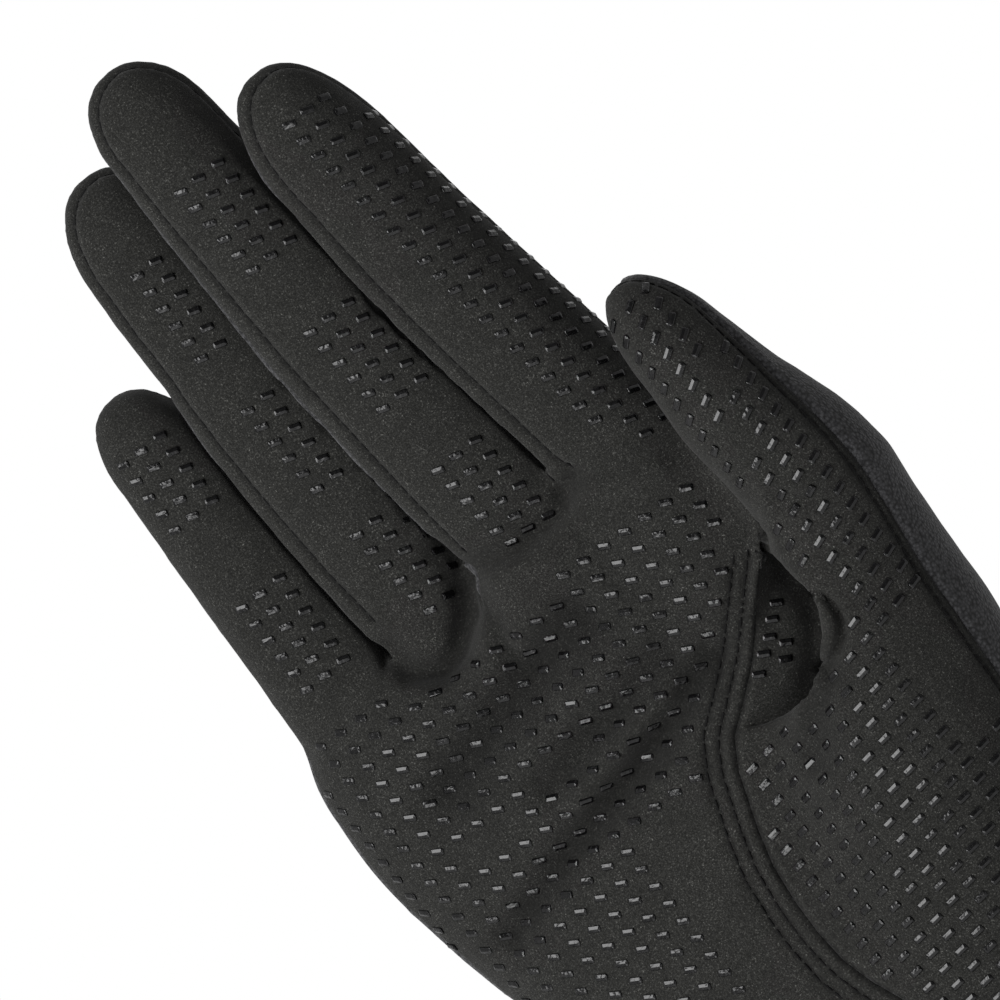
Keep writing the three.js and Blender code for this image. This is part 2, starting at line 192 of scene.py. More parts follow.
# Camera: photo pixels per millimetre, roll, and the point at the picture's centre
AZIMUTH = 15
ELEVATION = 0
ROLL = 39
PIXELS_PER_MM = 7.2
CENTRE_ACROSS = -0.4
CENTRE_UP = 145.9
LENS = 500
PLANE_FORWARD = 6

RIGHT = np.array([math.cos(math.radians(AZIMUTH)), math.sin(math.radians(AZIMUTH)), 0.0])
TOWARD = np.array([math.sin(math.radians(AZIMUTH)), -math.cos(math.radians(AZIMUTH)), 0.0])
UP = np.array([0.0, 0.0, 1.0])


def smooth_rows(rows, spacing=0.5):
    """Rows of a table that starts with a height, drawn through smoothly at an even spacing."""
    rows = np.array(rows, float)
    z = rows[:, 0]
    slope = np.gradient(rows[:, 1:], z, axis=0)
    fine = np.arange(z[0], z[-1] + spacing, spacing).clip(z[0], z[-1])
    k = np.clip(np.searchsorted(z, fine, "right") - 1, 0, len(z) - 2)
    h = z[k + 1] - z[k]
    t = ((fine - z[k]) / h)[:, None]
    h = h[:, None]
    a, b = rows[k, 1:], rows[k + 1, 1:]
    values = (
        (2 * t**3 - 3 * t**2 + 1) * a
        + (t**3 - 2 * t**2 + t) * h * slope[k]
        + (3 * t**2 - 2 * t**3) * b
        + (t**3 - t**2) * h * slope[k + 1]
    )
    return np.column_stack([fine, values])


def at_height(rows, z):
    return [np.interp(z, rows[:, 0], rows[:, i]) for i in range(1, rows.shape[1])]


def palm_rows():
    shoulder = PALM_LENGTH - PALM_DOME
    return smooth_rows(
        [
            (
                up * shoulder,
                -PALM_SHIFT * lean,
                PALM_BACK * lean,
                (WRIST_WIDTH + (PALM_WIDTH - WRIST_WIDTH) * spread) / 2,
                (WRIST_THICKNESS + (PALM_THICKNESS - WRIST_THICKNESS) * thin) / 2,
                PALM_EDGE_LIFT * lean,
            )
            for up, spread, thin, lean in PALM
        ]
    )


def thumb_rows():
    span = THUMB_TOP - THUMB_DOME
    return smooth_rows(
        [
            (
                THUMB_ROOT + up * span,
                out * THUMB_OUT,
                -forward * THUMB_FORWARD,
                width * THUMB_WIDTH / 2,
                depth * THUMB_WIDTH / 2,
                seam,
            )
            for up, out, forward, width, depth, seam in THUMB
        ]
    )


def finger_at(name, z):
    """Centre and half sizes of a finger's section at heights z."""
    length, across, y, root, tip, _, lean, bow, curl = FINGERS[name][:9]
    share = (z - PALM_LENGTH) / (length * FINGER_LENGTH)
    beyond = np.clip(share, 0, 1)
    cx = across * PALM_WIDTH + (lean * np.minimum(share, 1) + bow * 4 * beyond * (1 - beyond)) * FINGER_WIDTH
    cy = (y - curl * beyond**CURL_POWER) * FINGER_WIDTH
    half = (root + (tip - root) * beyond) * FINGER_WIDTH / 2
    return cx, cy, half, half * FINGER_DEPTH_SHARE


PRESSED = (2.4, 2.1, 2.6)
TOPS = [PALM_LENGTH + row[0] * FINGER_LENGTH for row in FINGERS.values()]
PAIR_TOPS = [min(a, b) for a, b in zip(TOPS[:-1], TOPS[1:])]
PALM_ROWS = palm_rows()
THUMB_ROWS = thumb_rows()


def blunt(dx, dy, dz, a, b, rise, power):
    """About the distance to a rounded form with half sizes a and b and a share of its dome's rise."""
    reach = (np.abs(dx / a) ** power + np.abs(dy / b) ** power + rise**power) ** (1 / power)
    length = np.sqrt(dx * dx + dy * dy + dz * dz)
    return length - length / np.maximum(reach, 1e-4)


def palm_form(p):
    x, y, z = p.T
    cx, cy, a, b, lift = at_height(PALM_ROWS, z)
    dx = x - cx
    dip = 5.0 * np.exp(-(((x + 18.5) / 6.5) ** 2)) - 4.5 * np.exp(-(((x - 10.5) / 5) ** 2))
    shoulder = PALM_LENGTH - PALM_DOME - dip
    over = np.maximum(z - shoulder, 0)
    dy = y - cy + lift * dx / (PALM_WIDTH / 2)
    return blunt(dx, dy, over, a, b, over / PALM_DOME, 2.5)


def pressed(z, pair):
    """How much wider a finger is on the side where it is pressed against its neighbour."""
    return PRESSED[pair] * np.clip((PAIR_TOPS[pair] - 4 - z) / 34, 0, 1) ** 0.7


def finger_form(name, p):
    x, y, z = p.T
    cx, cy, a, b = finger_at(name, z)
    k = list(FINGERS).index(name)
    if k < 3:
        a = a + np.where(x < cx, pressed(z, k), 0)
    if k > 0:
        a = a + np.where(x > cx, pressed(z, k - 1), 0)
    dome = FINGERS[name][5] * FINGER_WIDTH
    over = np.maximum(z - (PALM_LENGTH + FINGERS[name][0] * FINGER_LENGTH - dome), 0)
    under = np.maximum(PALM_LENGTH - 20 - z, 0)
    rise = over / dome + under / 16
    return blunt(x - cx, y - cy, over + under, a, b, rise, 2.35)


def thumb_form(p):
    x, y, z = p.T
    cx, cy, a, b, _ = at_height(THUMB_ROWS, z)
    over = np.maximum(z - (THUMB_ROOT + THUMB_TOP - THUMB_DOME), 0)
    under = np.maximum(THUMB_ROOT + 4 - z, 0)
    return blunt(x - cx, y - cy, over + under, a, b, over / THUMB_DOME + under / 22, 2.15)


def smooth_min(a, b, k):
    h = np.maximum(k - np.abs(a - b), 0) / k
    return np.minimum(a, b) - h * h * k / 4


def seen(p):
    """Places as the camera sees them: across and up."""
    return np.column_stack([p[:, :2] @ RIGHT[:2], p[:, 2]])


def line_side(points, line):
    """Signed distance to a line of points in a plane: above 0 on the left of its direction."""
    line = np.array(line, float)
    best = np.full(len(points), 1e9)
    sign = np.ones(len(points))
    for a, b in zip(line[:-1], line[1:]):
        ab = b - a
        away = points - a
        t = np.clip((away @ ab) / (ab @ ab), 0, 1)
        d = np.hypot(*(away - t[:, None] * ab).T)
        side = ab[0] * away[:, 1] - ab[1] * away[:, 0]
        closer = d < best - 1e-9
        best = np.where(closer, d, best)
        sign = np.where(closer, np.sign(side), sign)
    return best * sign


SLOT = 1.0  # width kept open between two fingers
CROTCHES = (145.0, 143.0, 136.5)  # how far down each slot runs


def slot_between(one, other, p):
    """Above 0 in the flat slot between two fingers, half way between their sides."""
    x, y, z = p.T
    ax, ay, a_half, _ = finger_at(one, z)
    bx, by, b_half, _ = finger_at(other, z)
    apart = np.hypot(bx - ax, by - ay)
    along = ((x - ax) * (bx - ax) + (y - ay) * (by - ay)) / apart
    return SLOT / 2 - np.abs(along - (apart + a_half - b_half) / 2)


def field(p):
    """Less than 0 inside the glove's outer surface, and about the distance to it in millimetres."""
    palm = palm_form(p)
    fingers = [finger_form(name, p) for name in FINGERS]
    joined = np.full(len(p), 1e9)
    for form, row in zip(fingers, FINGERS.values()):
        joined = np.minimum(joined, smooth_min(palm, form, row[11]))
    for a, b, low in zip(list(FINGERS)[:-1], list(FINGERS)[1:], CROTCHES):
        slot = np.minimum(slot_between(a, b, p), p[:, 2] - low)
        joined = np.maximum(joined, np.minimum(slot, palm - 1.0))
    thumb = thumb_form(p)
    body = smooth_min(joined, thumb, 7.0)
    close = (np.abs(body) < 9) & (p[:, 1] < 0)
    if close.any():
        near = p[close]
        body[close] += folds_at(near) + web_at(near, body[close], palm[close])
    return body


def folds_at(p):
    front = np.clip((-1.0 - p[:, 1]) / 4, 0, 1)
    away = np.zeros(len(p))
    flat = seen(p)
    for line, width, depth in FOLDS:
        d = line_side(flat, line) / width
        away += depth * np.exp(-d * d)
    return away * front


def web_at(p, body, palm):
    """How deep the web lies behind the thumb's folded edge, and how far that edge's flap stands up."""
    flat = seen(p)
    web = (flat[:, 0] > 0) & (flat[:, 0] < 34) & (flat[:, 1] > 90) & (flat[:, 1] < 127) & (p[:, 1] < -2)
    out = np.zeros(len(p))
    if not web.any():
        return out
    flat, body, palm = flat[web], body[web], palm[web]
    edge = -line_side(flat, WEB_EDGE)
    under = edge + 0.5 * np.clip(-body - 1.1, 0, 6)
    past_seam = np.maximum(line_side(flat, THUMB_SEAM), 0)
    near_edge = np.exp(-((np.maximum(edge, 0) / 2.4) ** 2))
    floor = palm + WEB_TILT * past_seam + WEB_GROOVE * near_edge * np.clip(past_seam / 3, 0, 1)
    sink = np.maximum(floor - body, 0) * np.clip(past_seam / 1.2, 0, 1) * np.clip(under / 0.45, 0, 1)
    sink *= np.clip((122 - flat[:, 1]) / 3, 0, 1)
    lower = np.clip((111 - flat[:, 1]) / 3, 0, 1) * np.clip((flat[:, 0] - 14) / 4, 0, 1)
    lip = -(0.3 + 0.4 * lower) * np.exp(-(((edge + 1.1) / 0.9) ** 2)) * np.clip((flat[:, 0] - 5) / 6, 0, 1)
    crease = 1.5 * lower * np.exp(-((line_side(flat, FLAP_CREASE) / 0.7) ** 2))
    out[web] = sink + lip + crease
    return out


def slope(values, p, reach=0.35):
    """The direction in which a field rises, and how fast."""
    out = np.empty_like(p)
    for k in range(3):
        shift = np.zeros(3)
        shift[k] = reach
        out[:, k] = (values(p + shift) - values(p - shift)) / (2 * reach)
    return out


def normals_of(p):
    g = slope(field, p)
    return g / np.linalg.norm(g, axis=1)[:, None].clip(1e-6)


# The surface is sampled on a fine grid near the form, and a net of quads is drawn through it.
def sampled(low, high):
    block = 4
    counts = (np.ceil((high - low) / STEP / block).astype(int)) * block + 1
    axes = [low[i] + STEP * np.arange(counts[i]) for i in range(3)]
    rough_axes = [axis[::block] for axis in axes]
    rough_points = np.stack(np.meshgrid(*rough_axes, indexing="ij"), -1)
    rough = field(rough_points.reshape(-1, 3)).reshape(rough_points.shape[:3])
    corners = [
        rough[i : rough.shape[0] - 1 + i, j : rough.shape[1] - 1 + j, k : rough.shape[2] - 1 + k]
        for i in (0, 1)
        for j in (0, 1)
        for k in (0, 1)
    ]
    near = np.min(np.abs(corners), axis=0) < block * STEP * 1.9
    mask = np.zeros(counts, bool)
    cells = near
    for axis in range(3):
        cells = np.repeat(cells, block, axis=axis)
    for i in (0, 1):
        for j in (0, 1):
            for k in (0, 1):
                mask[i : counts[0] - 1 + i, j : counts[1] - 1 + j, k : counts[2] - 1 + k] |= cells
    values = np.repeat(np.repeat(np.repeat(rough, block, 0), block, 1), block, 2)
    values = values[: counts[0], : counts[1], : counts[2]].copy()
    where = np.argwhere(mask)
    values[mask] = field(low + STEP * where)
    return values


def net(values, low):
    """Vertices and quads of the surface where the values are 0."""
    inside = values < 0
    shape = np.array(values.shape) - 1
    total = np.zeros(shape, int)
    for i in (0, 1):
        for j in (0, 1):
            for k in (0, 1):
                total += inside[i : shape[0] + i, j : shape[1] + j, k : shape[2] + k]
    mixed = (total > 0) & (total < 8)
    cells = np.argwhere(mixed)
    number = np.full(shape, -1)
    number[mixed] = np.arange(len(cells))
    summed = np.zeros((len(cells), 3))
    count = np.zeros(len(cells))
    corners = [(i, j, k) for i in (0, 1) for j in (0, 1) for k in (0, 1)]
    for a in corners:
        for b in corners:
            if sum(b) - sum(a) != 1 or any(q < r for q, r in zip(b, a)):
                continue
            fa = values[tuple((cells + a).T)]
            fb = values[tuple((cells + b).T)]
            cross = (fa < 0) != (fb < 0)
            t = fa[cross] / (fa[cross] - fb[cross])
            a3, b3 = np.array(a, float), np.array(b, float)
            summed[cross] += a3 + t[:, None] * (b3 - a3)
            count[cross] += 1
    points = low + STEP * (cells + summed / count[:, None])
    quads = []
    for axis in range(3):
        u, v = [(1, 2), (2, 0), (0, 1)][axis]
        one = np.zeros(3, int)
        one[axis] = 1
        start = inside[tuple(slice(0, -1) if q == axis else slice(None) for q in range(3))]
        end = inside[tuple(slice(1, None) if q == axis else slice(None) for q in range(3))]
        edges = np.argwhere(start != end)
        edges = edges[
            (edges[:, u] > 0)
            & (edges[:, v] > 0)
            & (edges[:, u] < shape[u])
            & (edges[:, v] < shape[v])
        ]
        du, dv = np.zeros(3, int), np.zeros(3, int)
        du[u], dv[v] = 1, 1
        ring = [number[tuple((edges - s).T)] for s in (du + dv, dv, 0 * du, du)]
        ring = np.stack(ring, 1)
        outward = inside[tuple(edges.T)]
        ring[~outward] = ring[~outward][:, ::-1]
        quads.append(ring[(ring >= 0).all(1)])
    return points, np.concatenate(quads)


def settle(points, rounds=3):
    """Moves points along the field's slope onto the surface."""
    for _ in range(rounds):
        value = field(points)
        g = slope(field, points)
        move = value / np.maximum((g * g).sum(1), 0.2)
        points = points - g * np.clip(move, -0.6, 0.6)[:, None]
    return points


def triangles_of(points, quads):
    first = np.linalg.norm(points[quads[:, 0]] - points[quads[:, 2]], axis=1)
    second = np.linalg.norm(points[quads[:, 1]] - points[quads[:, 3]], axis=1)
    a = quads[first <= second]
    b = quads[first > second]
    return np.concatenate([a[:, [0, 1, 2]], a[:, [0, 2, 3]], b[:, [1, 2, 3]], b[:, [1, 3, 0]]])


def split(points, triangles, values):
    """Cuts triangles where the values are 0; gives the points, triangles and which are on the high side."""
    high = values > 0
    signs = high[triangles]
    count = signs.sum(1)
    whole = (count == 0) | (count == 3)
    kept, crossed = triangles[whole], triangles[~whole]
    alone = np.where(count[~whole] == 1, True, False)
    column = np.argmax(high[crossed] == alone[:, None], axis=1)
    rows = np.arange(len(crossed))
    a = crossed[rows, column]
    b = crossed[rows, (column + 1) % 3]
    c = crossed[rows, (column + 2) % 3]
    edges = np.sort(np.concatenate([np.stack([a, b], 1), np.stack([a, c], 1)]), axis=1)
    unique, inverse = np.unique(edges, axis=0, return_inverse=True)
    inverse = inverse.reshape(-1)
    v0, v1 = values[unique[:, 0]], values[unique[:, 1]]
    t = np.clip(v0 / (v0 - v1), 0.1, 0.9)[:, None]
    new = points[unique[:, 0]] * (1 - t) + points[unique[:, 1]] * t
    p = inverse[: len(a)] + len(points)
    q = inverse[len(a) :] + len(points)
    tips = np.stack([a, p, q], 1)
    rests = np.concatenate([np.stack([p, b, c], 1), np.stack([p, c, q], 1)])
    out = np.concatenate([kept, tips, rests])
    side = np.concatenate([signs[whole][:, 0], high[a], np.tile(~high[a], 2)])
    return np.concatenate([points, new]), out, side


def used(points, triangles):
    keep, inverse = np.unique(triangles, return_inverse=True)
    return points[keep], inverse.reshape(triangles.shape)


# Where each panel ends. Each of these is above 0 on its own side, in millimetres from the seam.
def facing(angle):
    turn = np.radians(angle)
    return np.sin(turn), -np.cos(turn)


def wedge(dx, dy, low, high):
    """Distance into the wedge behind two seams, from the seam at the low angle round the back."""
    hx, hy = facing(high)
    lx, ly = facing(low)
    past_high = -dx * hy + dy * hx
    past_low = dx * ly - dy * lx
    return np.minimum(past_high, past_low)


def back_side(p):
    """Above 0 on the back of the hand."""
    x, y, z = p.T
    cx, cy, _, _, lift = at_height(PALM_ROWS, z)
    dx = x - cx
    palm = wedge(dx, y - cy + lift * dx / (PALM_WIDTH / 2), -84, 98)
    forms = [finger_form(name, p) for name in FINGERS]
    nearest = np.min(forms, axis=0)
    total = np.zeros(len(p))
    weight = np.zeros(len(p))
    for name, form in zip(FINGERS, forms):
        row = FINGERS[name]
        fx, fy, _, _ = finger_at(name, z)
        top = PALM_LENGTH + row[0] * FINGER_LENGTH
        forward = -0.4 * np.clip((z - top + 14) / 14, 0, 1) ** 1.5
        w = np.exp(-(form - nearest) / 0.4)
        total += w * wedge(x - fx, y - fy + forward, row[9], row[10])
        weight += w
    fingers = total / weight
    share = np.clip((z - 122) / 16, 0, 1)
    share = share * share * (3 - 2 * share)
    hand = palm * (1 - share) + fingers * share
    tx, ty, _, _, seam = at_height(THUMB_ROWS, z)
    thumb = wedge(x - tx, y - ty, THUMB_INNER_SEAM, seam)
    nearer = np.minimum(palm_form(p), nearest) - thumb_form(p)
    own = np.clip(0.5 + nearer / (3 + 15 * np.clip((76 - z) / 18, 0, 1)), 0, 1)
    return hand * (1 - own) + thumb * own


def thumb_side(p):
    """Above 0 on the thumb's suede."""
    z = p[:, 2]
    around = line_side(seen(p), THUMB_SEAM)
    others = np.min([palm_form(p)] + [finger_form(name, p) for name in ("index", "middle")], axis=0)
    nearer = (others - thumb_form(p)) / 1.6 - 1.6
    share = np.clip((z - 119) / 5, 0, 1)
    return around * (1 - share) + nearer * share


def hem_side(p):
    return p[:, 2] - HEM_HEIGHT - 0.1


low_corner = np.array([-52.0, -36.0, 4.0])
high_corner = np.array([58.0, 27.0, 229.0])
surface, quads = net(sampled(low_corner, high_corner), low_corner)
surface = settle(surface)
faces = triangles_of(surface, quads)

surface, faces, kept = split(surface, faces, hem_side(surface))
faces = faces[kept]
surface, faces, is_back = split(surface, faces, back_side(surface))
back_faces = faces[is_back]
surface, front_faces, is_thumb = split(surface, faces[~is_back], thumb_side(surface))


def largest(triangles):
    """Which triangles belong to the largest piece that hangs together."""
    parent = np.arange(len(surface))
    for _ in range(200):
        low = parent[triangles].min(1)
        new = parent.copy()
        for k in range(3):
            np.minimum.at(new, triangles[:, k], low)
        new = new[new]
        if (new == parent).all():
            break
        parent = new
    labels, counts = np.unique(parent[triangles[:, 0]], return_counts=True)
    return parent[triangles[:, 0]] == labels[np.argmax(counts)]


# What the seams cut off from a panel goes to its neighbour.
thumb_faces = front_faces[is_thumb]
whole = largest(thumb_faces)
palm_faces = np.concatenate([front_faces[~is_thumb], thumb_faces[~whole]])
thumb_faces = thumb_faces[whole]
whole = largest(palm_faces)
back_faces = np.concatenate([back_faces, palm_faces[~whole]])
palm_faces = palm_faces[whole]
back_faces = back_faces[largest(back_faces)]


def seam_distance(p):
    """How far a point is from the nearest seam."""
    return np.minimum(np.abs(back_side(p)), np.abs(thumb_side(p)))


FAR = 99.0
LINE_REACH = 3.0
FINGER_INSET = 3.7
SEAM_ROWS = (2.2, 4.2)
THUMB_INSET = 1.3


def stitched_finger(p):
    """Below 0 where the fingers' stitch lines run: not on the little finger or the palm."""
    x, _, z = p.T
    ring_edge = finger_at("ring", z)
    little_edge = finger_at("little", z)
    between = (ring_edge[0] - ring_edge[2] + little_edge[0] + little_edge[2]) / 2
    return np.maximum(between - x, 143.0 - z)


def stitch_distance(p, which):
    """How far a point of a panel is from its nearest line of stitches."""
    back = np.abs(back_side(p))
    if which == "thumb":
        return np.abs(back - THUMB_INSET)
    best = np.where(stitched_finger(p) < 0, np.abs(back - FINGER_INSET), FAR)
    past = -thumb_side(p)
    for row in SEAM_ROWS:
        best = np.minimum(best, np.where((p[:, 2] < 119) & (past > 0), np.abs(past - row), FAR))
    return best


def lattice_noise(p, size, seed):
    """Soft random bumps of about one size, from -1 to 1."""
    table = np.random.RandomState(seed).uniform(-1, 1, 4096)
    q = p / size
    base = np.floor(q).astype(int)
    t = q - base
    t = t * t * (3 - 2 * t)
    out = np.zeros(len(p))
    for i in (0, 1):
        for j in (0, 1):
            for k in (0, 1):
                cell = base + (i, j, k)
                key = (cell[:, 0] * 73856093) ^ (cell[:, 1] * 19349663) ^ (cell[:, 2] * 83492791)
                w = (
                    (t[:, 0] if i else 1 - t[:, 0])
                    * (t[:, 1] if j else 1 - t[:, 1])
                    * (t[:, 2] if k else 1 - t[:, 2])
                )
                out += w * table[key & 4095]
    return out


def cloth_rise(p, seam, stitch):
    """How far the cloth stands off its form: soft unevenness, rolled seams and stitched grooves."""
    uneven = 0.22 * lattice_noise(p * (1, 1, 0.55), 9.0, 3) + 0.08 * lattice_noise(p, 3.2, 4)
    rolled = -0.5 * np.exp(-((seam / 0.6) ** 2)) + 0.14 * np.exp(-(((seam - 1.1) / 0.6) ** 2))
    stitched = -0.5 * np.exp(-((stitch / 0.6) ** 2)) + 0.1 * np.exp(-(((stitch - 1.4) / 0.7) ** 2))
    return uneven + rolled + stitched


def make_object(name, points, polygons, smooth=True):
    mesh = bpy.data.meshes.new(name)
    mesh.from_pydata((points * MM).tolist(), [], [tuple(map(int, q)) for q in polygons])
    mesh.update()
    if smooth:
        mesh.polygons.foreach_set("use_smooth", [True] * len(mesh.polygons))
    made = bpy.data.objects.new(name, mesh)
    bpy.context.scene.collection.objects.link(made)
    return made


def edge_quads(triangles, offset):
    """Quads that close the open edges between an outer and an inner copy of the triangles."""
    edges = np.concatenate([triangles[:, [0, 1]], triangles[:, [1, 2]], triangles[:, [2, 0]]])
    key = np.sort(edges, axis=1)
    _, inverse, counts = np.unique(key, axis=0, return_inverse=True, return_counts=True)
    rim = edges[counts[inverse.reshape(-1)] == 1]
    return np.stack([rim[:, 1], rim[:, 0], rim[:, 0] + offset, rim[:, 1] + offset], 1)


def panel(name, which, triangles, nodes):
    """A panel of cloth with a thickness, laid on the form."""
    points, triangles = used(surface, triangles)
    normals = normals_of(points)
    seam = np.abs(back_side(points)) if which == "back" else seam_distance(points)
    stitch = np.full(len(points), FAR) if which == "back" else stitch_distance(points, which)
    outer = points + normals * cloth_rise(points, seam, stitch)[:, None]
    inner = points - normals * WALL
    both = np.concatenate([outer, inner])
    quads = edge_quads(triangles, len(points))
    polygons = triangles.tolist() + (triangles[:, ::-1] + len(points)).tolist() + quads.tolist()
    made = make_object(name, both, polygons)
    # line_distance drives the suede's painted shade along seams and stitch lines
    layer = made.data.attributes.new("line_distance", "FLOAT", "POINT")
    layer.data.foreach_set("value", np.tile(np.minimum(np.minimum(seam, stitch) / LINE_REACH, 1), 2))
    # fold_depth drives the suede's painted shade in its folds
    layer = made.data.attributes.new("fold_depth", "FLOAT", "POINT")
    depth = np.zeros(len(points)) if which == "back" else np.clip(folds_at(points) / 3, 0, 1)
    layer.data.foreach_set("value", np.tile(depth, 2))
    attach(made, "root")
    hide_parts(*nodes)
    return made, outer, triangles


palm, palm_outer, palm_triangles = panel(
    "palm_suede",
    "palm",
    palm_faces,
    ["palm_panel", "index_front", "middle_front", "ring_front", "little_front"],
)
thumb, thumb_outer, thumb_triangles = panel(
    "thumb_suede",
    "thumb",
    thumb_faces,
    ["thumb_ball", "thumb_front"],
)
back, back_outer, back_triangles = panel(
    "back_knit",
    "back",
    back_faces,
    ["back_panel", "index_back", "middle_back", "ring_back", "little_back", "thumb_back"],
)


def chains(points, triangles, values):
    """The lines along which the values are 0, as lists of points."""
    high = values > 0
    count = high[triangles].sum(1)
    crossed = triangles[(count == 1) | (count == 2)]
    links = {}
    places = {}
    for a, b, c in crossed.tolist():
        ends = []
        for i, j in ((a, b), (b, c), (c, a)):
            if high[i] != high[j]:
                key = (i, j) if i < j else (j, i)
                ends.append(key)
                if key not in places:
                    t = values[key[0]] / (values[key[0]] - values[key[1]])
                    places[key] = points[key[0]] * (1 - t) + points[key[1]] * t
        links.setdefault(ends[0], []).append(ends[1])
        links.setdefault(ends[1], []).append(ends[0])
    lines = []
    left = set(links)
    starts = [k for k in links if len(links[k]) == 1] + list(links)
    for start in starts:
        if start not in left:
            continue
        line = [start]
        left.discard(start)
        while True:
            following = [k for k in links[line[-1]] if k in left]
            if not following:
                break
            line.append(following[0])
            left.discard(following[0])
        lines.append(np.array([places[k] for k in line]))
    return lines


def spaced(line, pitch):
    """Points at an even pitch along a line, after it is smoothed a little."""
    for _ in range(4):
        line = np.concatenate([line[:1], (line[:-2] + 2 * line[1:-1] + line[2:]) / 4, line[-1:]])
    run = np.concatenate([[0], np.cumsum(np.linalg.norm(np.diff(line, axis=0), axis=1))])
    count = int(run[-1] / pitch)
    at = (np.arange(count) + 0.5) * pitch
    return np.stack([np.interp(at, run, line[:, k]) for k in range(3)], 1), count


def gather(parts):
    """Joins lists of points and polygons."""
    points, polygons, offset = [], [], 0
    for p, q in parts:
        points.append(p)
        polygons += [[i + offset for i in face] for face in q]
        offset += len(p)
    return np.concatenate(points), polygons


def pill(length, radius, flat):
    """A stitch: a rounded rod along x, flattened in z."""
    sides = 6
    rings = [(-0.5, 0.45), (-0.38, 0.9), (0, 1.0), (0.38, 0.9), (0.5, 0.45)]
    points = [
        (
            share * length,
            radius * size * math.cos(2 * math.pi * k / sides),
            radius * flat * size * math.sin(2 * math.pi * k / sides),
        )
        for share, size in rings
        for k in range(sides)
    ]
    faces = [
        (r * sides + k, r * sides + (k + 1) % sides, (r + 1) * sides + (k + 1) % sides, (r + 1) * sides + k)
        for r in range(len(rings) - 1)
        for k in range(sides)
    ]
    faces.append(tuple(range(sides))[::-1])
    faces.append(tuple((len(rings) - 1) * sides + k for k in range(sides)))
    return np.array(points), faces


STITCH = pill(1.5, 0.19, 0.8)
STITCH_PITCH = 2.0


def oriented(shape, place, along, normal):
    """A shape at a place, its x along one direction and its z along the surface's normal."""
    points, faces = shape
    z = normal / np.linalg.norm(normal)
    x = along - z * (along @ z)
    x = x / np.linalg.norm(x)
    y = np.cross(z, x)
    return place + points @ np.array([x, y, z]), faces


def row_of_stitches(outer, triangles, values, keep):
    """Stitches along the line where the values are 0, as far as keep is below 0."""
    parts = []
    for line in chains(outer, triangles, values):
        if len(line) < 12:
            continue
        places, count = spaced(line, STITCH_PITCH)
        if count < 3:
            continue
        along = np.gradient(places, axis=0)
        normals = normals_of(places)
        kept = keep(places) < 0
        for place, direction, normal, held in zip(places, along, normals, kept):
            if held:
                parts.append(oriented(STITCH, place + normal * 0.03, direction, normal))
    return parts


def stitch_object(name, parts):
    points, polygons = gather(parts)
    made = make_object(name, points, polygons)
    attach(made, "root")
    return made


palm_parts = row_of_stitches(
    palm_outer, palm_triangles, np.abs(back_side(palm_outer)) - FINGER_INSET, stitched_finger
)
for inset in SEAM_ROWS:
    palm_parts += row_of_stitches(
        palm_outer, palm_triangles, -thumb_side(palm_outer) - inset, lambda q: q[:, 2] - 119.5
    )
palm_stitches = stitch_object("palm_stitches", palm_parts)
thumb_parts = row_of_stitches(
    thumb_outer,
    thumb_triangles,
    np.abs(back_side(thumb_outer)) - THUMB_INSET,
    lambda q: thumb_form(q) - 3,
)
thumb_stitches = stitch_object("thumb_stitches", thumb_parts)


# Raised grip dashes. Rows and columns are given in the photo's plane: across and up, in millimetres.
def pad(length, width, height):
    """A dash: a low pad with clipped corners, steep sides and a top like a hipped roof."""
    corners = [(1, 0.55), (0.86, 1), (-0.86, 1), (-1, 0.55), (-1, -0.55), (-0.86, -1), (0.86, -1), (1, -0.55)]
    rings = [(0.0, -0.3), (0.0, 0.4), (0.08, 0.62)]
    points = [
        (x * (length / 2 - inset), y * (width / 2 - inset), up * height) for inset, up in rings for x, y in corners
    ]
    ridge = length / 2 - 0.35
    points += [(ridge, 0, height), (-ridge, 0, height)]
    sides = len(corners)
    faces = [
        (r * sides + k, r * sides + (k + 1) % sides, (r + 1) * sides + (k + 1) % sides, (r + 1) * sides + k)
        for r in range(len(rings) - 1)
        for k in range(sides)
    ]
    low = (len(rings) - 1) * sides
    right, left = low + sides, low + sides + 1
    faces += [(low + 1, low + 2, left, right), (low + 5, low + 6, right, left)]
    faces += [(low, low + 1, right), (low + 7, low, right), (low + 6, low + 7, right)]
    faces += [(low + 2, low + 3, left), (low + 3, low + 4, left), (low + 4, low + 5, left)]
    return np.array(points), faces


DASH = pad(2.0, 1.0, 0.36)
DASH_TILT = 0.04
tilts = np.random.RandomState(7)
ROW_PITCH = 2.9
COLUMN_PITCH = 3.45


def tree_of(*meshes):
    points, polygons = gather([(outer, triangles.tolist()) for outer, triangles in meshes])
    return BVHTree.FromPolygons([Vector(p) for p in points], polygons)


palm_tree = tree_of((palm_outer, palm_triangles))
thumb_tree = tree_of((thumb_outer, thumb_triangles))


def from_camera(across, up):
    """The point of the suede that the camera sees at a place in the photo's plane, and its piece."""
    origin = Vector(RIGHT * across + UP * up + TOWARD * 200)
    direction = Vector(-TOWARD)
    hits = [(tree.ray_cast(origin, direction), which) for tree, which in ((palm_tree, 0), (thumb_tree, 1))]
    hits = [(hit[3], np.array(hit[0]), which) for hit, which in hits if hit[0] is not None]
    if not hits:
        return None
    _, place, which = min(hits, key=lambda h: h[0])
    return place, which


def round_finger(name, up, around):
    """A place on a finger's suede, at a height and an arc from the line that faces the camera."""
    cx, cy, a, b = (float(v) for v in finger_at(name, np.array(up, float)))
    angle = math.radians(AZIMUTH) + around / ((a + b) / 2)
    sx, sy = math.sin(angle), -math.cos(angle)
    reach = (abs(sx / a) ** 2.15 + abs(sy / b) ** 2.15) ** (-1 / 2.15)
    near = palm_tree.find_nearest(Vector((cx + sx * reach, cy + sy * reach, up)))
    return np.array(near[0])


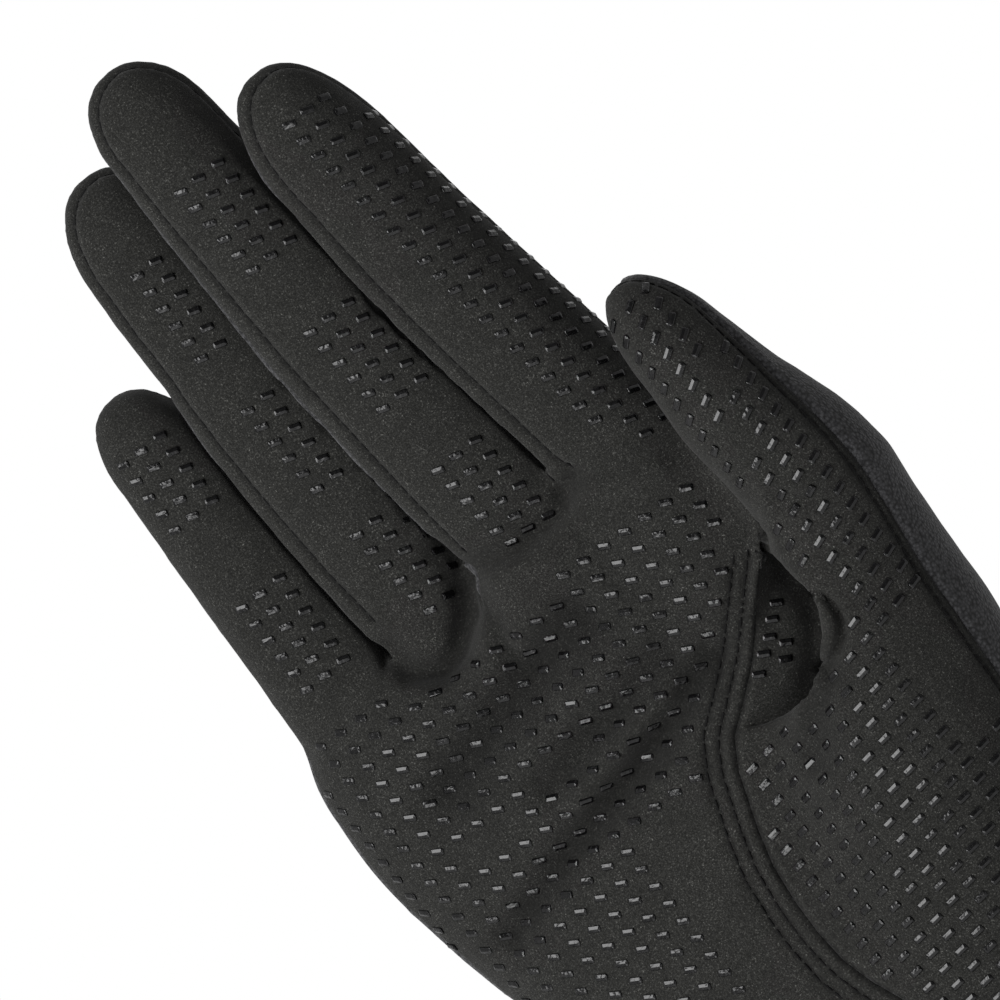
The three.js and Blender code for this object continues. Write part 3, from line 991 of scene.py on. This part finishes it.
def in_web(across, rise):
    """Whether a place lies in the web behind its folded edge, or on that edge."""
    place = np.array([[across, rise]])
    if abs(line_side(place, FLAP_CREASE)[0]) < 1.6:
        return True
    return line_side(place, THUMB_SEAM)[0] > 0 and -line_side(place, WEB_EDGE)[0] > -1.6


def rows_between(top, count):
    return [top - ROW_PITCH * k for k in range(count)]


finger_patches = (
    # finger, arcs of its columns, height of the first row, rows
    ("middle", (-3.6, -0.3, 3.1), 206.6, 6),
    ("middle", (-3.7, -0.3, 3.1), 180.4, 6),
    ("middle", (-4.2, -0.8, 2.6), 154.5, 6),
    ("ring", (-2.2, 1.2, 4.6), 201.8, 6),
    ("ring", (-1.8, 1.7, 5.0), 177.6, 6),
    ("ring", (-2.2, 1.3, 4.6), 154.6, 6),
    ("little", (-4.9, -1.4, 2.1), 182.8, 5),
    ("little", (-4.2, -0.8, 2.7), 156.8, 6),
)

dashes = {"palm": [], "thumb": []}


def add_dash(piece, place, tilt, turn=0.0):
    """Lays a dash at a place, turned from the hand's cross direction."""
    normal = normals_of(place[None])[0] + tilts.uniform(-DASH_TILT, DASH_TILT, 3)
    normal = normal / np.linalg.norm(normal)
    cross = np.cross(UP, normal)
    cross = cross / np.linalg.norm(cross)
    rise = np.cross(normal, cross)
    angle = math.radians(tilt + turn)
    along = cross * math.cos(angle) + rise * math.sin(angle)
    dashes[piece].append(oriented(DASH, place, along, normal))


for name, arcs, top, count in finger_patches:
    for up in rows_between(top, count):
        for arc in arcs:
            place = round_finger(name, up, arc)
            if folds_at(place[None])[0] < 1.5:
                add_dash("palm", place, -18)

for k in range(23):
    up = 204.2 - ROW_PITCH * k
    for column in range(6):
        arc = -1.6 + COLUMN_PITCH * column
        if k < 2 and column > 2:
            continue
        place = round_finger("index", up, arc)
        if back_side(place[None])[0] < -2.8 and not (column == 0 and k > 20):
            add_dash("palm", place, -18)

for k in range(24):
    up = 135.0 - 3.05 * k
    for column in range(-2, 22):
        across = -45.0 + COLUMN_PITCH * column
        rise = up - 0.06 * (across + 45)
        found = from_camera(across, rise)
        if found is None or found[1] == 1:
            continue
        place = found[0]
        margin = seam_distance(place[None])[0]
        if margin < 5.0 and thumb_side(place[None])[0] > -6.0:
            continue
        if back_side(place[None])[0] > -1.2:
            continue
        if rise > 127 and -42 < across < -3:
            if not (across < -31 or (across < -3 and rise < 131)):
                continue
        if rise > 132.5 and across > -31:
            continue
        if 109.5 < rise < 112.3 and -37 < across < -11:
            continue
        if rise < 98 and across > -15.5:
            continue
        add_dash("palm", place, -27)

lean = math.radians(11)
for i in range(-26, 30):
    for j in range(-20, 16):
        across = 30 + 3.4 * j * math.cos(lean)
        rise = 103 + 3.4 * j * math.sin(lean) + 2.75 * i
        if not (-6 < across < 42 and 12 < rise < 158):
            continue
        found = from_camera(across, rise)
        if found is None or found[1] == 0:
            continue
        place = found[0]
        if seam_distance(place[None])[0] < 1.9 or in_web(across, rise):
            continue
        if 80 < rise < 100 and across > 27:
            continue
        add_dash("thumb", place, np.interp(rise, [60, 97, 104, 128, 158], [6, 8, 18, 22, 40]))

web_dashes = (
    (20.3, 110.9),
    (18.4, 109.5),
    (16.6, 107.8),
    (14.5, 106.5),
    (12.2, 104.7),
    (17.9, 105.8),
    (16.4, 104.1),
)
for across, rise in web_dashes:
    found = from_camera(across, rise)
    if found is not None:
        add_dash("thumb", found[0], -30)


def dash_object(name, parts):
    points, polygons = gather(parts)
    made = make_object(name, points, polygons, smooth=False)
    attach(made, "root")
    return made


palm_dashes = dash_object("palm_grip_dashes", dashes["palm"])
thumb_dashes = dash_object("thumb_grip_dashes", dashes["thumb"])


# The binding round the wrist opening
def binding():
    sides = 96
    profile = [(WALL, 0.5), (WALL, 8.0), (0.9, 8.8), (0, 9.2), (-0.8, 8.6), (-0.95, 4.6), (-0.8, 0.6)]
    profile += [(0, 0.0), (0.8, 0.0)]
    points = []
    for k in range(sides):
        turn = 2 * math.pi * k / sides
        sx, sy = math.sin(turn), -math.cos(turn)
        for inset, z in profile:
            cx, cy, a, b, _ = (float(v) for v in at_height(PALM_ROWS, np.array(z)))
            ripple = 0.12 * math.sin(turn * 41) if inset < 0 else 0
            px = (a - inset + ripple) * math.copysign(abs(sx) ** 0.8, sx)
            py = (b - inset + ripple) * math.copysign(abs(sy) ** 0.8, sy)
            points.append((cx + px, cy + py, z))
    size = len(profile)
    faces = [
        (
            k * size + i,
            k * size + (i + 1) % size,
            (k + 1) % sides * size + (i + 1) % size,
            (k + 1) % sides * size + i,
        )
        for k in range(sides)
        for i in range(size)
    ]
    made = make_object("wrist_binding", np.array(points), faces)
    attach(made, "root")
    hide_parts("hem")
    return made


wrist_binding = binding()


# Materials
def node(tree, kind, **values):
    made = tree.nodes.new(kind)
    for key, value in values.items():
        if key in made.inputs:
            made.inputs[key].default_value = value
        else:
            setattr(made, key, value)
    return made


def material(name):
    made = bpy.data.materials.new(name)
    made.use_nodes = True
    tree = made.node_tree
    shader = tree.nodes["Principled BSDF"]
    return made, tree, shader


def ramp(tree, source, stops):
    made = tree.nodes.new("ShaderNodeValToRGB")
    elements = made.color_ramp.elements
    for i, (place, colour) in enumerate(stops):
        element = elements[i] if i < len(elements) else elements.new(place)
        element.position = place
        element.color = (*colour, 1)
    tree.links.new(source, made.inputs["Fac"])
    return made.outputs["Color"]


def suede_material():
    made, tree, shader = material("suede")
    link = tree.links.new
    coordinates = node(tree, "ShaderNodeTexCoord")
    place = coordinates.outputs["Object"]
    grain = node(tree, "ShaderNodeTexNoise", Scale=4200.0, Detail=2.0, Roughness=0.7)
    link(place, grain.inputs["Vector"])
    patches = node(tree, "ShaderNodeTexNoise", Scale=260.0, Detail=2.0, Roughness=0.6)
    link(place, patches.inputs["Vector"])
    mixed = node(tree, "ShaderNodeMath", operation="MULTIPLY_ADD")
    mixed.inputs[1].default_value = 0.12
    link(patches.outputs["Fac"], mixed.inputs[0])
    link(grain.outputs["Fac"], mixed.inputs[2])
    colour = ramp(
        tree,
        mixed.outputs["Value"],
        [
            (0.4, (0.0033, 0.0033, 0.003)),
            (0.6, (0.0084, 0.0084, 0.0077)),
            (0.72, (0.018, 0.018, 0.0167)),
            (0.82, (0.065, 0.065, 0.06)),
        ],
    )
    # Painted shade in the seam and stitch grooves: the colour drops to about a third on the line, with a faint
    # painted highlight on the raised roll just beside it
    distance = node(tree, "ShaderNodeAttribute", attribute_name="line_distance")
    lines = ramp(
        tree,
        distance.outputs["Fac"],
        [(0.0, (0.35,) * 3), (0.1, (0.6,) * 3), (0.22, (1.0,) * 3), (0.3, (1.1,) * 3), (0.5, (1.0,) * 3)],
    )
    # Painted shade: the suede's colour darkens with the depth of its folds, down to half in the deepest
    depth = node(tree, "ShaderNodeAttribute", attribute_name="fold_depth")
    painted_fold_shade = ramp(tree, depth.outputs["Fac"], [(0.0, (1.0,) * 3), (0.25, (0.86,) * 3), (1.0, (0.5,) * 3)])
    lined = node(tree, "ShaderNodeVectorMath", operation="MULTIPLY")
    link(colour, lined.inputs[0])
    link(lines, lined.inputs[1])
    shaded = node(tree, "ShaderNodeVectorMath", operation="MULTIPLY")
    link(lined.outputs["Vector"], shaded.inputs[0])
    link(painted_fold_shade, shaded.inputs[1])
    link(shaded.outputs["Vector"], shader.inputs["Base Color"])
    shader.inputs["Roughness"].default_value = 0.92
    shader.inputs["Specular IOR Level"].default_value = 0.08
    shader.inputs["Sheen Weight"].default_value = 0.03
    shader.inputs["Sheen Roughness"].default_value = 0.5
    bump = node(tree, "ShaderNodeBump", Strength=0.5, Distance=0.00012)
    link(mixed.outputs["Value"], bump.inputs["Height"])
    link(bump.outputs["Normal"], shader.inputs["Normal"])
    return made


def knit_material():
    made, tree, shader = material("knit")
    link = tree.links.new
    coordinates = node(tree, "ShaderNodeTexCoord")
    place = coordinates.outputs["Object"]
    pebbles = node(tree, "ShaderNodeTexVoronoi", Scale=2000.0, feature="SMOOTH_F1", Smoothness=0.3)
    link(place, pebbles.inputs["Vector"])
    colour = ramp(
        tree,
        pebbles.outputs["Distance"],
        [(0.0, (0.03, 0.03, 0.0318)), (0.4, (0.017, 0.017, 0.018)), (0.75, (0.0045, 0.0045, 0.0048))],
    )
    link(colour, shader.inputs["Base Color"])
    shader.inputs["Roughness"].default_value = 0.75
    shader.inputs["Specular IOR Level"].default_value = 0.1
    shader.inputs["Sheen Weight"].default_value = 0.06
    bump = node(tree, "ShaderNodeBump", Strength=0.8, Distance=0.0002, invert=True)
    link(pebbles.outputs["Distance"], bump.inputs["Height"])
    link(bump.outputs["Normal"], shader.inputs["Normal"])
    return made


def rubber_material():
    made, tree, shader = material("grip_rubber")
    link = tree.links.new
    coordinates = node(tree, "ShaderNodeTexCoord")
    lumps = node(tree, "ShaderNodeTexNoise", Scale=1500.0, Detail=1.0)
    link(coordinates.outputs["Object"], lumps.inputs["Vector"])
    shader.inputs["Base Color"].default_value = (0.0012, 0.0012, 0.0013, 1)
    shader.inputs["Roughness"].default_value = 0.22
    shader.inputs["Specular IOR Level"].default_value = 0.2
    bump = node(tree, "ShaderNodeBump", Strength=0.5, Distance=0.0002)
    link(lumps.outputs["Fac"], bump.inputs["Height"])
    link(bump.outputs["Normal"], shader.inputs["Normal"])
    return made


def plain_material(name, colour, roughness):
    made, tree, shader = material(name)
    noise = node(tree, "ShaderNodeTexNoise", Scale=1800.0, Detail=2.0)
    coordinates = node(tree, "ShaderNodeTexCoord")
    tree.links.new(coordinates.outputs["Object"], noise.inputs["Vector"])
    bump = node(tree, "ShaderNodeBump", Strength=0.3, Distance=0.00015)
    tree.links.new(noise.outputs["Fac"], bump.inputs["Height"])
    tree.links.new(bump.outputs["Normal"], shader.inputs["Normal"])
    shader.inputs["Base Color"].default_value = (*colour, 1)
    shader.inputs["Roughness"].default_value = roughness
    shader.inputs["Specular IOR Level"].default_value = 0.1
    return made


suede = suede_material()
knit = knit_material()
rubber = rubber_material()
thread = plain_material("thread", (0.0015, 0.0015, 0.0015), 0.9)
tape = plain_material("binding_tape", (0.012, 0.012, 0.013), 0.8)
for made, finish in (
    (palm, suede),
    (thumb, suede),
    (back, knit),
    (palm_stitches, thread),
    (thumb_stitches, thread),
    (palm_dashes, rubber),
    (thumb_dashes, rubber),
    (wrist_binding, tape),
):
    made.data.materials.append(finish)


# Stage, light and camera
def world():
    made = bpy.data.worlds.new("studio")
    bpy.context.scene.world = made
    made.use_nodes = True
    tree = made.node_tree
    background = tree.nodes["Background"]
    background.inputs["Strength"].default_value = 1.0
    direction = tree.nodes.new("ShaderNodeTexCoord")
    toward = tree.nodes.new("ShaderNodeVectorMath")
    toward.operation = "DOT_PRODUCT"
    toward.inputs[1].default_value = tuple(TOWARD)
    tree.links.new(direction.outputs["Generated"], toward.inputs[0])
    shade = ramp(tree, toward.outputs["Value"], [(0.0, (1, 1, 1)), (0.3, (0.7,) * 3), (0.85, (0.2,) * 3)])
    tree.links.new(shade, background.inputs["Color"])


def floor():
    mesh = bpy.data.meshes.new("floor")
    size, drop = 3.0, -0.16
    mesh.from_pydata(
        [(-size, -size, drop), (size, -size, drop), (size, size, drop), (-size, size, drop)],
        [],
        [(0, 1, 2, 3)],
    )
    made = bpy.data.objects.new("floor", mesh)
    bpy.context.scene.collection.objects.link(made)
    finish, _, shader = material("floor")
    shader.inputs["Base Color"].default_value = (0.9, 0.9, 0.9, 1)
    shader.inputs["Roughness"].default_value = 0.9
    mesh.materials.append(finish)
    return made


def lamp(name, place, target, size, power):
    light = bpy.data.lights.new(name, "AREA")
    light.size = size
    light.energy = power
    made = bpy.data.objects.new(name, light)
    made.location = place
    made.rotation_euler = (Vector(target) - Vector(place)).to_track_quat("-Z", "Y").to_euler()
    bpy.context.scene.collection.objects.link(made)
    return made


def camera():
    data = bpy.data.cameras.new("camera")
    data.lens = LENS
    data.sensor_width = 36
    data.clip_start = 0.01
    data.clip_end = 20
    made = bpy.data.objects.new("camera", data)
    tilt = math.radians(ELEVATION)
    back_axis = TOWARD * math.cos(tilt) + UP * math.sin(tilt)
    up_axis = UP * math.cos(tilt) - TOWARD * math.sin(tilt)
    roll = math.radians(ROLL)
    x_axis = RIGHT * math.cos(roll) - up_axis * math.sin(roll)
    y_axis = RIGHT * math.sin(roll) + up_axis * math.cos(roll)
    distance = 1000 / PIXELS_PER_MM * LENS / 36
    target = RIGHT * CENTRE_ACROSS + UP * CENTRE_UP + TOWARD * PLANE_FORWARD
    place = (target + back_axis * distance) * MM
    made.matrix_world = Matrix(
        (
            (x_axis[0], y_axis[0], back_axis[0], place[0]),
            (x_axis[1], y_axis[1], back_axis[1], place[1]),
            (x_axis[2], y_axis[2], back_axis[2], place[2]),
            (0, 0, 0, 1),
        )
    )
    bpy.context.scene.collection.objects.link(made)
    bpy.context.scene.camera = made
    return made


world()
stage = [floor()]
centre = (0, 0, 0.13)
key_place = (TOWARD * 430 - RIGHT * 430 + UP * 400) * MM
stage.append(lamp("key", tuple(key_place), centre, 0.42, 9.1))
fill_place = (TOWARD * 520 - RIGHT * 400 - UP * 120) * MM
stage.append(lamp("fill", tuple(fill_place), centre, 0.3, 3.9))
camera()

bpy.context.scene.view_settings.view_transform = "Standard"
